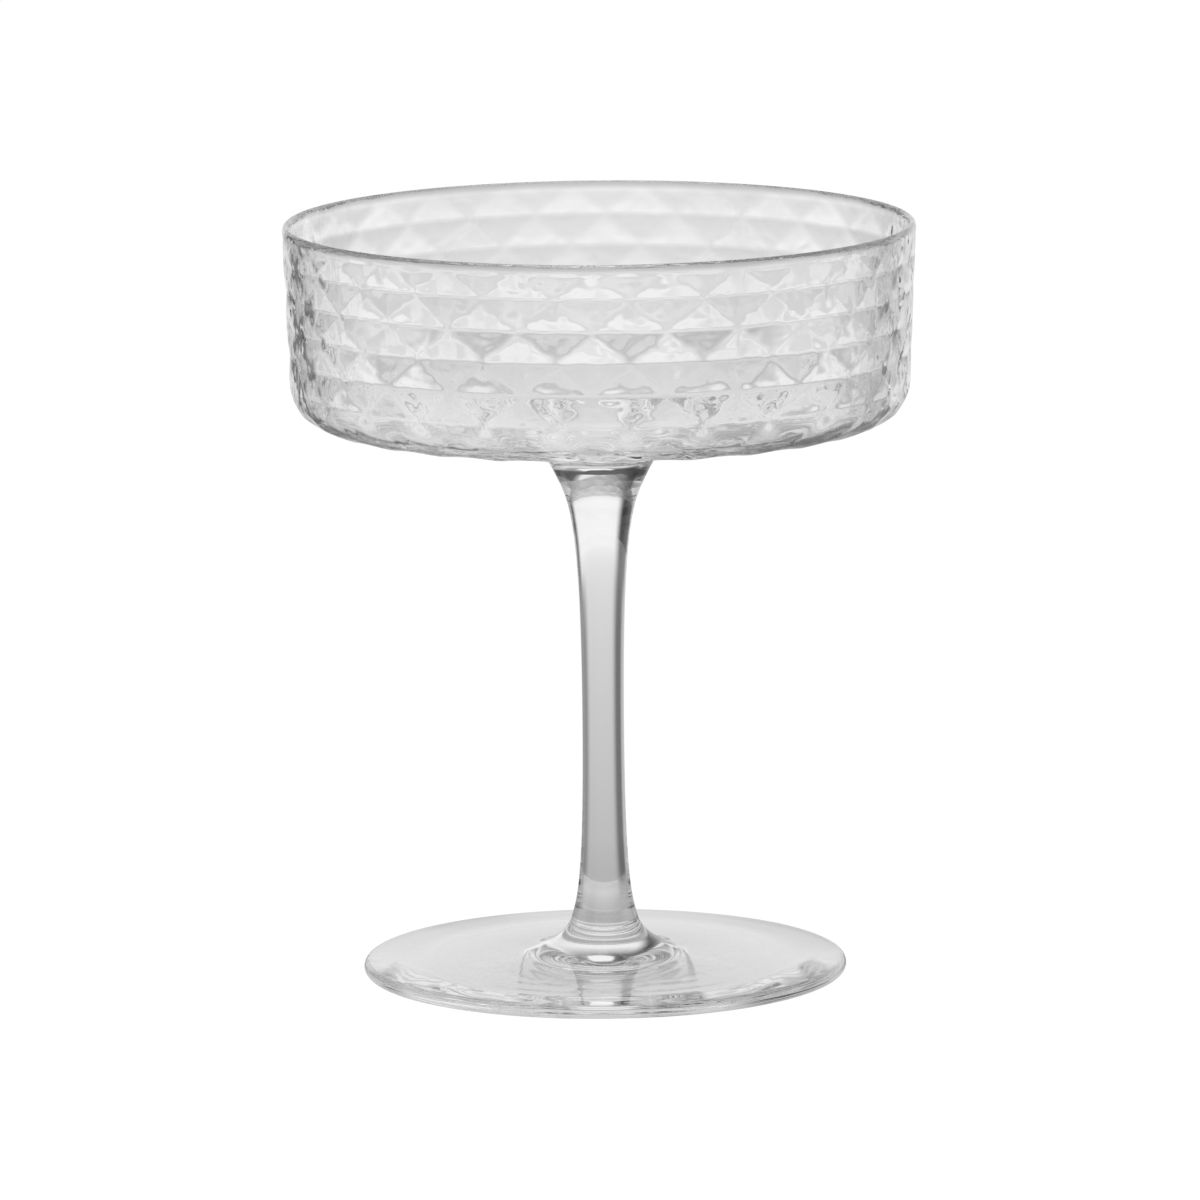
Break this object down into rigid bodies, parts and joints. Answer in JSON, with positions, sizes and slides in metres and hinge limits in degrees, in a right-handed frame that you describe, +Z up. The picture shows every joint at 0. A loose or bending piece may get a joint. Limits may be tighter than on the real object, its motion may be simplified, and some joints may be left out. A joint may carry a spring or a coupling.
{
  "type": "champagne coupe glass",
  "caption": "Clear champagne coupe with a shallow bowl moulded in triangular facets, a waisted stem and a round foot.",
  "frame": {"origin": "centre of the foot on the surface that the glass stands on", "axes": "+Z up along the axis of the glass, -Y towards the camera of the picture, with a facet edge towards -Y"},
  "size_m": [0.0998, 0.0998, 0.1208],
  "materials": {
    "glass": "clear, fire polished"
  },
  "bodies": {
    "root": {"bowl": "glass", "stem": "glass", "foot": "glass"}
  },
  "joints": []
}
